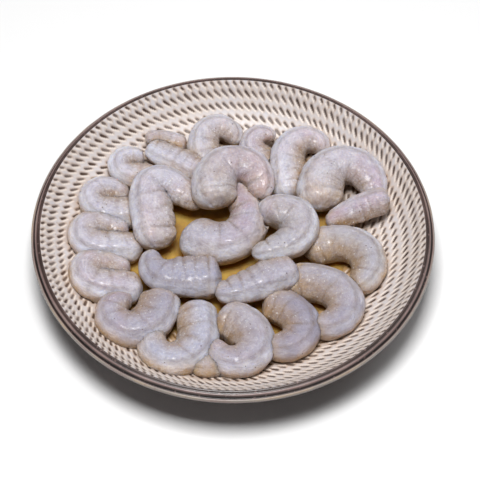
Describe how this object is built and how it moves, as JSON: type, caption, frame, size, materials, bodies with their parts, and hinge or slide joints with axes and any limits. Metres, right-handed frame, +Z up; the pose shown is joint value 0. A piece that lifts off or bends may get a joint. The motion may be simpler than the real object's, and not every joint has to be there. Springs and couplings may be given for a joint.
{
  "type": "dish of peeled prawns",
  "caption": "Peeled raw prawns, curled and heaped in a ring, in a shallow round glazed dish with a footed base.",
  "frame": {"origin": "on the table under the middle of the dish", "axes": "+Z up, -Y towards the viewer of the picture, +X to that viewer's right"},
  "size_m": [0.24, 0.24, 0.0436],
  "materials": {
    "glazed_stoneware": "satin cream slip under clear glaze, brown lip",
    "raw_prawn": "wet, translucent, grey-white"
  },
  "bodies": {
    "root": {"dish": "glazed_stoneware", "prawn_back_tip": "raw_prawn", "prawn_front_tip": "raw_prawn", "prawn_back_inner": "raw_prawn", "prawn_left_back": "raw_prawn", "prawn_back": "raw_prawn", "prawn_left_upper": "raw_prawn", "prawn_left_middle": "raw_prawn", "prawn_left_lower": "raw_prawn", "prawn_back_right": "raw_prawn", "prawn_right_under": "raw_prawn", "prawn_right": "raw_prawn", "prawn_front_right": "raw_prawn", "prawn_front_inner_right": "raw_prawn", "prawn_front": "raw_prawn", "prawn_front_inner_left": "raw_prawn", "prawn_front_left": "raw_prawn", "prawn_middle_back_left": "raw_prawn", "prawn_right_back": "raw_prawn", "prawn_middle": "raw_prawn", "prawn_middle_front": "raw_prawn", "prawn_middle_front_left": "raw_prawn", "prawn_middle_left": "raw_prawn", "prawn_middle_right": "raw_prawn", "prawn_middle_back": "raw_prawn"}
  },
  "joints": []
}
